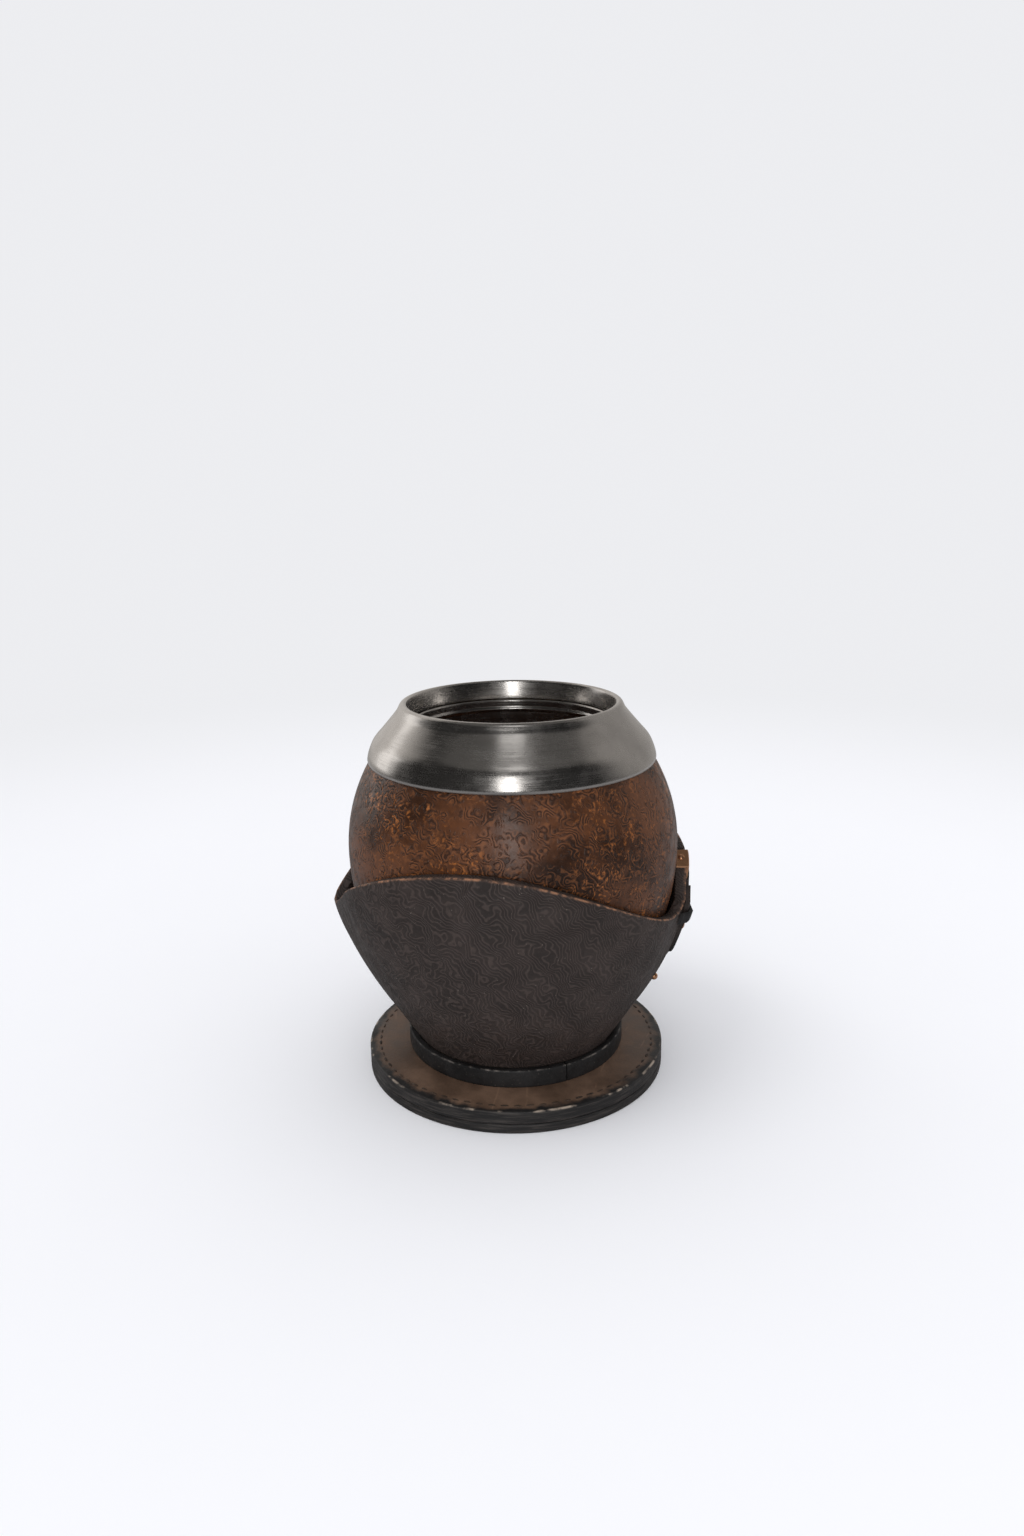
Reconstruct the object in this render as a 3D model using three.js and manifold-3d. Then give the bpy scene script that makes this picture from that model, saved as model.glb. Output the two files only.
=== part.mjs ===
// A mate cup: a turned gourd with a spun steel collar, standing in a stitched leather holder.
// Millimetres, +Z up. The origin is the middle of the holder's underside, on the table.
// Bearings are degrees round Z: 0 is the front (-Y), 90 the laced seam (+X), 270 the pointed corner (-X).
import * as THREE from 'three';
import { mergeVertices } from 'three/addons/utils/BufferGeometryUtils.js';
import Module from 'manifold-3d';

const wasm = await Module();
wasm.setup();

// Driving sizes of the leather holder
const BASE_RADIUS = 44.5;
const OUTSOLE_THICK = 2.8;
const BASE_THICK = 3.9;
const BASE_TOP = OUTSOLE_THICK + BASE_THICK;
const BAND_HEIGHT = 5.3;
const BAND_TOP = BASE_TOP + BAND_HEIGHT;
const BAND_RADIUS = 32.4;
const BAND_JOINT = 38;
const WALL_THICK = 3.3;
const WAIST_RADIUS = 30.3;
const FIT_GAP = 0.25;

// The wall is round where it lies on the gourd and is drawn out straight to a seam on each side.
// Each outline runs from the waist to its reach at a height: flare is how sharply it leaves the waist,
// and power how soon it gets upright.
const ROUND_OUTLINE = { reach: 51.7, height: 70, flare: 1, power: 1.85 };
const CORNER_OUTLINE = { reach: 57.0, height: 48, flare: 0.75, power: 1.45 };
const LACED_OUTLINE = { reach: 51.6, height: 66, flare: 1, power: 2.1 };
const CORNER_SWELL = 0.8;
const CORNER_BEARING = 270;
const LACED_BEARING = 90;
const CORNER_SEAM = 273.4;
const LACED_SEAM = 106;

// The wall's top edge
const PEAK_HEIGHT = 76;
const CORNER_HEIGHT = 47;
const DIP_HEIGHT = 51.5;
const LACED_HEIGHT = 64.5;
const DIP_BEARING = 83;

// Driving sizes of the gourd and its metalwork
const GOURD_RADIUS = 47.8;
const GOURD_EQUATOR = 69.3;
const GOURD_RISE = 48.25;
const GOURD_DROP = 58;
const GOURD_RIM = 104.5;
const CAVITY = { radius: 41.5, equator: 67, rise: 42.4, drop: 46, floor: 22 };
const MOUTH_RADIUS = 29.3;
const COLLAR_SHEET = 0.8;

const ROUND_SIDES = 48;

const LEATHER = new THREE.MeshStandardMaterial({ color: 0x2b211e, roughness: 0.55 });
const BLACK_LEATHER = new THREE.MeshStandardMaterial({ color: 0x171514, roughness: 0.5 });
const BROWN_LEATHER = new THREE.MeshStandardMaterial({ color: 0x4a3122, roughness: 0.45 });
const GOURD = new THREE.MeshStandardMaterial({ color: 0x4b2812, roughness: 0.35 });
const STEEL = new THREE.MeshStandardMaterial({ color: 0xa8a49d, roughness: 0.22, metalness: 1 });
const COPPER = new THREE.MeshStandardMaterial({ color: 0xb87850, roughness: 0.35, metalness: 1 });
const RESIN = new THREE.MeshStandardMaterial({ color: 0x6b5a45, roughness: 0.6 });

const degrees = THREE.MathUtils.degToRad;
const clamp = THREE.MathUtils.clamp;
const smooth = THREE.MathUtils.smoothstep;

// Closed bodies from triangles

// Shares the vertices that lie together and drops the triangles that have no area.
function tidy(geometry) {
  geometry.deleteAttribute('normal');
  geometry.deleteAttribute('uv');
  const merged = mergeVertices(geometry, 1e-4);
  const kept = [];
  const index = merged.index.array;
  for (let i = 0; i < index.length; i += 3) {
    const [a, b, c] = [index[i], index[i + 1], index[i + 2]];
    if (a !== b && b !== c && c !== a) kept.push(a, b, c);
  }
  merged.setIndex(kept);
  return merged;
}

function volumeOf(geometry) {
  const p = geometry.attributes.position;
  const [a, b, c] = [new THREE.Vector3(), new THREE.Vector3(), new THREE.Vector3()];
  let sum = 0;
  for (let i = 0; i < geometry.index.count; i += 3) {
    a.fromBufferAttribute(p, geometry.index.array[i]);
    b.fromBufferAttribute(p, geometry.index.array[i + 1]);
    c.fromBufferAttribute(p, geometry.index.array[i + 2]);
    sum += a.dot(b.cross(c)) / 6;
  }
  return sum;
}

// Turns a body inside out where its faces point in.
function facingOut(geometry) {
  const body = tidy(geometry);
  if (volumeOf(body) < 0) {
    const index = Array.from(body.index.array);
    for (let i = 0; i < index.length; i += 3) {
      [index[i + 1], index[i + 2]] = [index[i + 2], index[i + 1]];
    }
    body.setIndex(index);
  }
  return body;
}

// A turned body: the profile is a closed list of [radius, height] pairs, round Z.
function turned(profile) {
  const points = [...profile, profile[0]].map(([r, z]) => new THREE.Vector2(r, z));
  const body = new THREE.LatheGeometry(points, ROUND_SIDES);
  body.rotateX(Math.PI / 2);
  return facingOut(body);
}

// A body swept round Z: ringAt(bearing) gives one closed outline of [radius, height] pairs.
function swept(bearings, ringAt) {
  const rings = bearings.map(ringAt);
  const size = rings[0].length;
  const positions = [];
  rings.forEach((ring, i) => {
    const a = degrees(bearings[i]);
    ring.forEach(([r, z]) => positions.push(r * Math.sin(a), -r * Math.cos(a), z));
  });
  const index = [];
  for (let i = 0; i < rings.length - 1; i++) {
    for (let j = 0; j < size; j++) {
      const [a, b] = [i * size + j, i * size + ((j + 1) % size)];
      const [c, d] = [a + size, b + size];
      index.push(a, c, b, b, c, d);
    }
  }
  const flat = (ring) => ring.map(([r, z]) => new THREE.Vector2(r, z));
  const capOf = (ring) => THREE.ShapeUtils.triangulateShape(flat(ring), []);
  capOf(rings[0]).forEach(([a, b, c]) => index.push(a, b, c));
  const last = (rings.length - 1) * size;
  capOf(rings.at(-1)).forEach(([a, b, c]) => index.push(last + c, last + b, last + a));
  const body = new THREE.BufferGeometry();
  body.setAttribute('position', new THREE.Float32BufferAttribute(positions, 3));
  body.setIndex(index);
  return facingOut(body);
}

// Bearings from start to end at about one step apart, with one exactly on each crease.
function bearingsBetween(start, end, step, creases = []) {
  const stops = [start, ...creases.filter((c) => c > start && c < end), end];
  const list = [start];
  for (let i = 1; i < stops.length; i++) {
    const [from, to] = [stops[i - 1], stops[i]];
    const count = Math.max(1, Math.round((to - from) / step));
    for (let k = 1; k <= count; k++) list.push(from + ((to - from) * k) / count);
  }
  return list;
}

function asManifold(geometry) {
  return new wasm.Manifold(new wasm.Mesh({
    numProp: 3,
    vertProperties: new Float32Array(geometry.attributes.position.array),
    triVerts: new Uint32Array(geometry.index.array),
  }));
}

// Cuts the tool bodies out of a body.
function drilled(geometry, tools) {
  let body = asManifold(geometry);
  for (const tool of tools) body = body.subtract(asManifold(tool));
  const mesh = body.getMesh();
  const result = new THREE.BufferGeometry();
  result.setAttribute('position', new THREE.Float32BufferAttribute(mesh.vertProperties, 3));
  result.setIndex(Array.from(mesh.triVerts));
  return result;
}

// The holder's wall

function outlineRadius({ reach, height, flare, power }, z) {
  const up = clamp((z - BAND_TOP) / (height - BAND_TOP), 0, 1) ** flare;
  return WAIST_RADIUS + (reach - WAIST_RADIUS) * (1 - (1 - up) ** power);
}

// The wall's outer radius. Beside a seam it is a nearly straight line that touches the round part.
function wallRadius(bearing, z) {
  const m = ((bearing % 360) + 360) % 360;
  const toLaced = Math.min(Math.abs(m - LACED_BEARING), 360 - Math.abs(m - LACED_BEARING));
  const toCorner = Math.min(Math.abs(m - CORNER_BEARING), 360 - Math.abs(m - CORNER_BEARING));
  const round = outlineRadius(ROUND_OUTLINE, z);
  const seam = outlineRadius(toLaced < toCorner ? LACED_OUTLINE : CORNER_OUTLINE, z);
  const touch = Math.acos(round / Math.max(seam, round + 0.01));
  const away = degrees(Math.min(toLaced, toCorner));
  if (away >= touch) return round;
  const swell = CORNER_SWELL * clamp((touch - 0.25) / 0.2, 0, 1) * Math.sin((Math.PI * away) / touch);
  return round / Math.cos(touch - away) + swell;
}

// The front panel's edge: a rounded petal, a dip, and a rise to the laced seam.
function frontEdge(bearing) {
  const notch = 1.4 * (1 - smooth(bearing, CORNER_SEAM - 360, CORNER_SEAM - 357.5));
  if (bearing < 0) {
    return CORNER_HEIGHT + (PEAK_HEIGHT - CORNER_HEIGHT) * Math.cos(degrees(bearing)) ** 1.25 - notch;
  }
  const petal = bearing < 90 ? (PEAK_HEIGHT - DIP_HEIGHT) * Math.cos(degrees(bearing)) ** 2 : 0;
  return DIP_HEIGHT + petal + (LACED_HEIGHT - DIP_HEIGHT) * smooth(bearing, DIP_BEARING, LACED_SEAM + 2);
}

// The back panel's edge rises from the laced seam to its peak and falls to the pointed corner.
function backEdge(bearing) {
  if (bearing < 180) {
    const way = ((bearing - LACED_SEAM) / (180 - LACED_SEAM)) * 90;
    return LACED_HEIGHT + (PEAK_HEIGHT - LACED_HEIGHT) * Math.sin(degrees(way));
  }
  const fall = Math.abs(Math.cos(degrees(Math.min(bearing, CORNER_BEARING)))) ** 0.65;
  return CORNER_HEIGHT + (PEAK_HEIGHT - CORNER_HEIGHT) * fall;
}

// One panel of thick leather from the base to its edge, tucked inside the foot band.
function panel(start, end, edgeAt) {
  const rows = [0, 0.06, 0.14, 0.24, 0.36, 0.5, 0.66, 0.83, 1];
  return swept(bearingsBetween(start, end, 4.6, [LACED_BEARING, CORNER_BEARING]), (m) => {
    const heights = [BASE_TOP, ...rows.map((v) => BAND_TOP + (edgeAt(m) - BAND_TOP) * v)];
    const outer = heights.map((z) => [wallRadius(m, z), z]);
    const inner = heights.map((z) => [wallRadius(m, z) - WALL_THICK, z]).reverse();
    return [...outer, ...inner];
  });
}

// A place on the wall, raised off it, and the way out of the leather there.
function onWall(bearing, z, raised = 0) {
  const at = (m, h) => {
    const r = wallRadius(m, h);
    return new THREE.Vector3(r * Math.sin(degrees(m)), -r * Math.cos(degrees(m)), h);
  };
  const along = at(bearing + 0.5, z).sub(at(bearing - 0.5, z));
  const up = at(bearing, z + 0.5).sub(at(bearing, z - 0.5));
  const out = along.cross(up).normalize();
  return { point: at(bearing, z).addScaledVector(out, raised), out };
}

// A domed rivet: its head's underside is at the point, and its shank goes in against the way out.
function rivetAt({ point, out }, headRadius, domeHeight, shankRadius, shankLength) {
  const dome = [1, 0.87, 0.5].map((c) => [headRadius * c, domeHeight * Math.sqrt(1 - c * c)]);
  const shank = [[0, -shankLength], [shankRadius, -shankLength], [shankRadius, 0]];
  const profile = [...shank, ...dome, [0, domeHeight]];
  const body = new THREE.LatheGeometry(profile.map(([r, z]) => new THREE.Vector2(r, z)), 14);
  body.applyQuaternion(new THREE.Quaternion().setFromUnitVectors(new THREE.Vector3(0, 1, 0), out));
  body.translate(point.x, point.y, point.z);
  return facingOut(body);
}

// The hole that a shank goes through, a little wider and longer than the shank.
function holeAt({ point, out }, shankRadius, shankLength) {
  const tool = new THREE.CylinderGeometry(shankRadius + 0.12, shankRadius + 0.12, shankLength * 2 + 0.6, 14);
  tool.applyQuaternion(new THREE.Quaternion().setFromUnitVectors(new THREE.Vector3(0, 1, 0), out));
  tool.translate(point.x, point.y, point.z);
  return facingOut(tool);
}

// The laced seam's leather and copper
const TONGUE_THICK = 1.3;
const TONGUE_BEARING = 97;
const TONGUE_TIP = 32;
const TONGUE_SPREAD = 8;
const KEEPER_LOW = 47.4;
const KEEPER_HIGH = 50.8;
const KEEPER_THICK = 0.9;
const KEEPER_SPREAD = 11.5;
const CLIP_START = 98.8;
const CLIP_END = 104.6;
const CLIP_SHEET = 0.5;
const LACE_RADIUS = 0.55;

const TONGUE_RIVET = {
  at: onWall(92.8, 45.3, TONGUE_THICK + 0.25),
  head: 1.4,
  dome: 0.7,
  shank: 0.6,
  length: 3.2,
};
const SEAM_TACK = { at: onWall(88.4, 29.6, 0.06), head: 1.1, dome: 1.1, shank: 0.45, length: 1.8 };

// The pin stands on the clip, square to the slope of the panel's edge under it.
const CLIP_PIN = (() => {
  const m = (CLIP_START + CLIP_END) / 2;
  const middle = wallRadius(m, frontEdge(m)) - WALL_THICK / 2;
  const reach = degrees(0.5) * middle * 2;
  const slope = Math.atan2(frontEdge(m + 0.5) - frontEdge(m - 0.5), reach);
  const a = degrees(m);
  const along = new THREE.Vector3(Math.cos(a), Math.sin(a), 0);
  const out = along.multiplyScalar(-Math.sin(slope)).setZ(Math.cos(slope));
  const height = frontEdge(m) + CLIP_SHEET + 0.12;
  const point = new THREE.Vector3(middle * Math.sin(a), -middle * Math.cos(a), height);
  return { at: { point, out }, head: 0.95, dome: 0.5, shank: 0.4, length: 2.4 };
})();

const rivetOf = ({ at, head, dome, shank, length }) => rivetAt(at, head, dome, shank, length);
const holeOf = ({ at, shank, length }) => holeAt(at, shank, length);

// The tongue lies over the laced seam and narrows to a round tip.
function seamTongue() {
  const low = (m) => TONGUE_TIP + 19 * Math.abs((m - TONGUE_BEARING) / TONGUE_SPREAD) ** 1.7;
  const ends = [TONGUE_BEARING - TONGUE_SPREAD, TONGUE_BEARING + TONGUE_SPREAD];
  return swept(bearingsBetween(...ends, 1.3, [LACED_BEARING]), (m) => {
    const top = frontEdge(m) - 0.9 - 3.4 * smooth(m, 94.5, 97.5);
    const heights = [0, 0.2, 0.4, 0.6, 0.8, 1].map((v) => low(m) + (top - low(m)) * v);
    const inner = heights.map((z) => [wallRadius(m, z) + 0.15, z]).reverse();
    const outer = heights.map((z) => [wallRadius(m, z) + 0.15 + TONGUE_THICK, z]);
    return [...outer, ...inner];
  });
}

// The keeper is a narrow band over the tongue, with its ends down on the wall.
function tongueKeeper() {
  const raised = (m) => 0.2 + (TONGUE_THICK + 0.3) * (1 - smooth(Math.abs(m - TONGUE_BEARING), 9, 11));
  const ends = [TONGUE_BEARING - KEEPER_SPREAD, TONGUE_BEARING + KEEPER_SPREAD];
  return swept(bearingsBetween(...ends, 1.15, [LACED_BEARING]), (m) => {
    const inner = (z) => wallRadius(m, z) + raised(m);
    return [
      [inner(KEEPER_LOW), KEEPER_LOW],
      [inner(KEEPER_LOW) + KEEPER_THICK, KEEPER_LOW],
      [inner(KEEPER_HIGH) + KEEPER_THICK, KEEPER_HIGH],
      [inner(KEEPER_HIGH), KEEPER_HIGH],
    ];
  });
}

// The lace's end hangs out of the keeper as one flat loop on the tongue.
function closingLace() {
  const raised = 0.15 + TONGUE_THICK + LACE_RADIUS + 0.2;
  const route = [];
  for (let i = 0; i <= 16; i++) {
    const turn = Math.PI * clamp((i - 6) / 4, 0, 1);
    const run = i < 6 ? 47.1 - i * 1.6 : i > 10 ? 37.5 + (i - 10) * 1.6 : 37.5;
    const across = TONGUE_BEARING - 1.6 * Math.cos(turn);
    route.push(onWall(across, run - 1.5 * Math.sin(turn), raised).point);
  }
  const section = new THREE.Shape().absarc(0, 0, LACE_RADIUS, 0, Math.PI * 2, false);
  return facingOut(new THREE.ExtrudeGeometry(section, {
    steps: 28, curveSegments: 8, bevelEnabled: false, extrudePath: new THREE.CatmullRomCurve3(route),
  }));
}

// The clip caps the edge of the front panel where it rises to the seam.
function edgeClip() {
  return swept(bearingsBetween(CLIP_START, CLIP_END, 1), (m) => {
    const edge = frontEdge(m) + 0.1;
    const outer = wallRadius(m, edge);
    const low = edge - 3.4;
    return [
      [outer - WALL_THICK + 0.2, edge],
      [outer + 0.15, edge],
      [wallRadius(m, low) + 0.15, low],
      [wallRadius(m, low) + 0.15 + CLIP_SHEET, low],
      [outer + 0.15 + CLIP_SHEET, edge + CLIP_SHEET * 0.4],
      [outer - 0.1 + CLIP_SHEET, edge + CLIP_SHEET],
      [outer - WALL_THICK + 0.2, edge + CLIP_SHEET],
    ];
  });
}

// The holder's foot

// A leather disc with its edges eased.
function disc(radius, low, high, ease) {
  return turned([
    [0, low],
    [radius - ease, low],
    [radius, low + ease],
    [radius, high - ease],
    [radius - ease, high],
    [0, high],
  ]);
}

// The front panel has a hole for each shank that goes into it.
function frontPanel() {
  const leather = panel(CORNER_SEAM - 360, LACED_SEAM, frontEdge);
  return drilled(leather, [TONGUE_RIVET, SEAM_TACK, CLIP_PIN].map(holeOf));
}

// The foot band is one strip bent round the waist, with its two ends butted together.
function footBand() {
  const inside = WAIST_RADIUS + 0.1;
  return swept(bearingsBetween(BAND_JOINT + 0.3, BAND_JOINT + 359.7, 6), () => [
    [inside, BASE_TOP],
    [BAND_RADIUS, BASE_TOP],
    [BAND_RADIUS, BAND_TOP - 0.5],
    [BAND_RADIUS - 0.5, BAND_TOP],
    [inside, BAND_TOP],
  ]);
}

// The gourd and its metalwork

function gourdOuter(z) {
  const t = z > GOURD_EQUATOR ? (z - GOURD_EQUATOR) / GOURD_RISE : (GOURD_EQUATOR - z) / GOURD_DROP;
  return GOURD_RADIUS * Math.sqrt(1 - t * t);
}

function gourdInner(z) {
  const { radius, equator, rise, drop } = CAVITY;
  const t = z > equator ? (z - equator) / rise : (equator - z) / drop;
  return radius * Math.sqrt(Math.max(0, 1 - t * t));
}

function gourdShell() {
  const heights = [BAND_TOP, 14, 18, 24, 32, 41, 51, 60, 69.3, 78, 86, 93, 99, GOURD_RIM];
  const outer = heights.map((z) => [gourdOuter(z), z]);
  const inner = [94, 86, 77, 67, 56, 45, 35, 27, 23].map((z) => [gourdInner(z), z]);
  const mouth = [[MOUTH_RADIUS, GOURD_RIM], [MOUTH_RADIUS, 97]];
  return turned([[0, BAND_TOP], ...outer, ...mouth, ...inner, [0, CAVITY.floor]]);
}

// The collar is one spun sheet: the skirt's outside up to the lip, then down inside the mouth.
const COLLAR_OUTSIDE = [
  [41.0, 94.6], [41.25, 95.2], [41.2, 96.0], [40.75, 97.6], [39.5, 100.4], [37.1, 103.2],
  [34.7, 106.0], [33.3, 107.7], [32.5, 108.8], [31.8, 110.2], [31.3, 110.8], [30.6, 111.05],
  [29.95, 110.75], [29.7, 110.2], [28.9, 105.6],
];
const COLLAR_INSIDE = [
  [29.7, 105.6], [30.4, 109.7], [30.75, 110.0], [31.2, 109.3], [31.8, 108.2], [32.7, 107.0],
  [34.1, 105.3], [36.5, 102.6], [38.8, 99.9], [39.9, 97.4], [40.4, 96.0], [40.55, 95.2],
];

// Cement fills the room between the skirt and the gourd and keys the collar on.
function collarResin() {
  const onGourd = [97.4, 99, 101, 103, 104.3].map((z) => [gourdOuter(z) + 0.2, z]);
  const underSkirt = [[30.7, 106.6], [32.0, 106.9], [33.6, 105.2], [36.1, 102.5], [38.4, 99.8]];
  const foot = [[30.7, 104.8], [32.6, 104.8]];
  return turned([...foot.reverse(), ...underSkirt, [39.65, 97.5], ...onGourd]);
}

// The sleeve lines the mouth: a flange on the gourd's rim, a wall, and a rolled ridge.
function mouthSleeve() {
  return turned([
    [28.9, 97.2], [28.9, 104.7], [30.2, 104.7], [30.2, 105.3], [28.5, 105.3], [28.2, 105.0], [28.3, 103.2],
    [27.95, 102.6], [27.95, 102.2], [28.3, 101.6], [28.3, 97.2],
  ]);
}

const pieces = [
  ['outsole_disc', disc(BASE_RADIUS, 0, OUTSOLE_THICK, 0.4), BLACK_LEATHER],
  ['base_disc', disc(BASE_RADIUS, OUTSOLE_THICK, BASE_TOP, 0.4), BROWN_LEATHER],
  ['foot_band', footBand(), BLACK_LEATHER],
  ['insole_disc', disc(WAIST_RADIUS - WALL_THICK - FIT_GAP, BASE_TOP, BAND_TOP, 0.4), BROWN_LEATHER],
  ['front_panel', frontPanel(), LEATHER],
  ['back_panel', panel(LACED_SEAM + 0.35, CORNER_SEAM - 0.35, backEdge), LEATHER],
  ['seam_tongue', drilled(seamTongue(), [holeOf(TONGUE_RIVET)]), LEATHER],
  ['tongue_keeper', tongueKeeper(), BLACK_LEATHER],
  ['tongue_rivet', rivetOf(TONGUE_RIVET), COPPER],
  ['closing_lace', closingLace(), BLACK_LEATHER],
  ['seam_tack', rivetOf(SEAM_TACK), COPPER],
  ['edge_clip', drilled(edgeClip(), [holeOf(CLIP_PIN)]), COPPER],
  ['clip_pin', rivetOf(CLIP_PIN), COPPER],
  ['gourd_shell', gourdShell(), GOURD],
  ['collar', turned([...COLLAR_OUTSIDE, ...COLLAR_INSIDE]), STEEL],
  ['collar_resin', collarResin(), RESIN],
  ['mouth_sleeve', mouthSleeve(), STEEL],
];

const mateCup = new THREE.Group();
for (const [name, geometry, material] of pieces) {
  const mesh = new THREE.Mesh(geometry, material);
  mesh.name = name;
  mateCup.add(mesh);
}

export default mateCup;
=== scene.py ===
"""A mate cup in a stitched leather holder, laid out as an add-on and run as a script."""

import math

import bmesh
import bpy
from mathutils import Matrix, Vector, geometry


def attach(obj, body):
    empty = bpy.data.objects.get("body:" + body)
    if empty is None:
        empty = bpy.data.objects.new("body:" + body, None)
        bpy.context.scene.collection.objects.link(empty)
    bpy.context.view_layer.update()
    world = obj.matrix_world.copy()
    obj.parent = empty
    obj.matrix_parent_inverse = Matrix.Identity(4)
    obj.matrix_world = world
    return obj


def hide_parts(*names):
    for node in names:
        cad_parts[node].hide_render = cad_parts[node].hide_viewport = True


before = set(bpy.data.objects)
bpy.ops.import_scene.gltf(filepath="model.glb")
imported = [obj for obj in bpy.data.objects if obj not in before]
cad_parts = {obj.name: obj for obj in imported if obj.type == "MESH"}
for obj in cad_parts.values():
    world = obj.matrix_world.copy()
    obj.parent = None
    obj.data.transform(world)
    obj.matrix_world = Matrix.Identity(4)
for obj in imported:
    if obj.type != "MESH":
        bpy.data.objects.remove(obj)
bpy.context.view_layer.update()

bl_info = {
    "name": "Mate cup",
    "version": (1, 0, 0),
    "blender": (4, 5, 0),
    "location": "View3D > Sidebar > Mate cup",
    "description": "Builds a mate cup of gourd, steel and leather with its studio",
    "category": "Add Mesh",
}

MM = 0.001

# Sizes in millimetres, in the frame of the solids: +Z up, bearings round Z from -Y towards +X.
BASE_RADIUS = 44.5
OUTSOLE_THICK = 2.8
BASE_TOP = 6.7
BAND_TOP = 12.0
BAND_RADIUS = 32.4
BAND_JOINT = 38
WALL_THICK = 3.3
WAIST_RADIUS = 30.3
# Outlines of the wall: reach, height, flare, power
ROUND_OUTLINE = (51.7, 70, 1, 1.85)
CORNER_OUTLINE = (57.0, 48, 0.75, 1.45)
LACED_OUTLINE = (51.6, 66, 1, 2.1)
CORNER_SWELL = 0.8
CORNER_BEARING = 270
LACED_BEARING = 90
CORNER_SEAM = 273.4
LACED_SEAM = 106
PEAK_HEIGHT = 76
CORNER_HEIGHT = 47
DIP_HEIGHT = 51.5
LACED_HEIGHT = 64.5
DIP_BEARING = 83
GOURD_RADIUS = 47.8
GOURD_EQUATOR = 69.3
GOURD_RISE = 48.25
GOURD_DROP = 58
GOURD_RIM = 104.5
TONGUE_THICK = 1.3
TONGUE_BEARING = 97
TONGUE_TIP = 32
TONGUE_SPREAD = 8
KEEPER_LOW = 47.4
KEEPER_HIGH = 50.8
KEEPER_THICK = 0.9
KEEPER_SPREAD = 11.5
CLIP_START = 98.8
CLIP_END = 104.6
CLIP_SHEET = 0.5
LACE_RADIUS = 0.55
LACE_HALF = 1.6  # from the middle of the loop to either run
PATCH_GAP = 0.15  # between the wall and what lies on it
SEAM_GAP = 0.35
BAND_GAP = 0.3
MOUTH_RADIUS = 29.3
MOUTH_FOOT = 97
CAVITY_TOP = 94
CAVITY_FLOOR = 21.6

# The camera, fitted to the photograph's outlines; distances in metres, angles in degrees
CAMERA_DISTANCE = 0.3095
CAMERA_HEIGHT = 0.1736
CAMERA_BEARING = 12
CAMERA_FALL = 14.96
CAMERA_ROLL = -0.84
CAMERA_LENS = 26
CAMERA_SENSOR = 36


def clamp(value, low, high):
    return min(max(value, low), high)


def smooth(value, low, high):
    t = clamp((value - low) / (high - low), 0, 1)
    return t * t * (3 - 2 * t)


# Meshes


def eased(outline, ease, steps=3):
    """The closed outline with its sharp corners rounded; corners on the axis stay."""
    made = []
    count = len(outline)
    for i, here in enumerate(outline):
        before = Vector(outline[i - 1])
        after = Vector(outline[(i + 1) % count])
        point = Vector(here)
        to_before, to_after = before - point, after - point
        if point.x < 1e-6 or to_before.length < 1e-6 or to_after.length < 1e-6:
            made.append(tuple(point))
            continue
        if math.pi - to_before.angle(to_after) < math.radians(25):
            made.append(tuple(point))
            continue
        cut = min(ease, 0.45 * to_before.length, 0.45 * to_after.length)
        start = point + to_before.normalized() * cut
        end = point + to_after.normalized() * cut
        for k in range(steps + 1):
            t = k / steps
            made.append(tuple(start * (1 - t) ** 2 + point * 2 * t * (1 - t) + end * t * t))
    return made


def mesh_object(name, points, faces, values=None):
    """A smooth closed mesh from points in millimetres; values is a number per point for the shader."""
    mesh = bpy.data.meshes.new(name)
    mesh.from_pydata([Vector(p) * MM for p in points], [], faces)
    if values:
        mark = mesh.attributes.new("mark", "FLOAT", "POINT")
        mark.data.foreach_set("value", values)
    work = bmesh.new()
    work.from_mesh(mesh)
    bmesh.ops.remove_doubles(work, verts=work.verts, dist=1e-7)
    bmesh.ops.recalc_face_normals(work, faces=work.faces)
    if work.calc_volume(signed=True) < 0:
        bmesh.ops.reverse_faces(work, faces=work.faces)
    work.to_mesh(mesh)
    work.free()
    mesh.shade_smooth()
    mesh.set_sharp_from_angle(angle=math.radians(42))
    made = bpy.data.objects.new(name, mesh)
    bpy.context.scene.collection.objects.link(made)
    return made


def turned(name, outline, sides=160, ease=0.3):
    """A body turned round Z from a closed outline of (radius, height) pairs."""
    ring = eased(outline, ease)
    size = len(ring)
    points, faces = [], []
    for i in range(sides):
        a = 2 * math.pi * i / sides
        points += [(r * math.sin(a), -r * math.cos(a), z) for r, z in ring]
        for j in range(size):
            b, c = i * size, (i + 1) % sides * size
            k = (j + 1) % size
            faces.append((b + j, c + j, c + k, b + k))
    return mesh_object(name, points, faces)


def swept(name, bearings, ring_at, mark_at=None):
    """A body swept round Z: ring_at(bearing) gives one closed outline of (radius, height) pairs."""
    rings = [ring_at(m) for m in bearings]
    size = len(rings[0])
    points, faces, values = [], [], []
    for m, ring in zip(bearings, rings):
        a = math.radians(m)
        points += [(r * math.sin(a), -r * math.cos(a), z) for r, z in ring]
        if mark_at:
            values += [mark_at(m, r, z) for r, z in ring]
    for i in range(len(rings) - 1):
        for j in range(size):
            k = (j + 1) % size
            b, c = i * size, (i + 1) * size
            faces.append((b + j, c + j, c + k, b + k))
    for first in (0, (len(rings) - 1) * size):
        cap = geometry.tessellate_polygon([[Vector((r, z, 0)) for r, z in rings[first // size]]])
        faces += [tuple(first + v for v in triangle) for triangle in cap]
    return mesh_object(name, points, faces, values)


def bearings_between(start, end, step, creases=()):
    stops = [start, *[c for c in creases if start < c < end], end]
    made = [start]
    for low, high in zip(stops, stops[1:]):
        count = max(1, round((high - low) / step))
        made += [low + (high - low) * k / count for k in range(1, count + 1)]
    return made


# The leather wall


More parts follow.
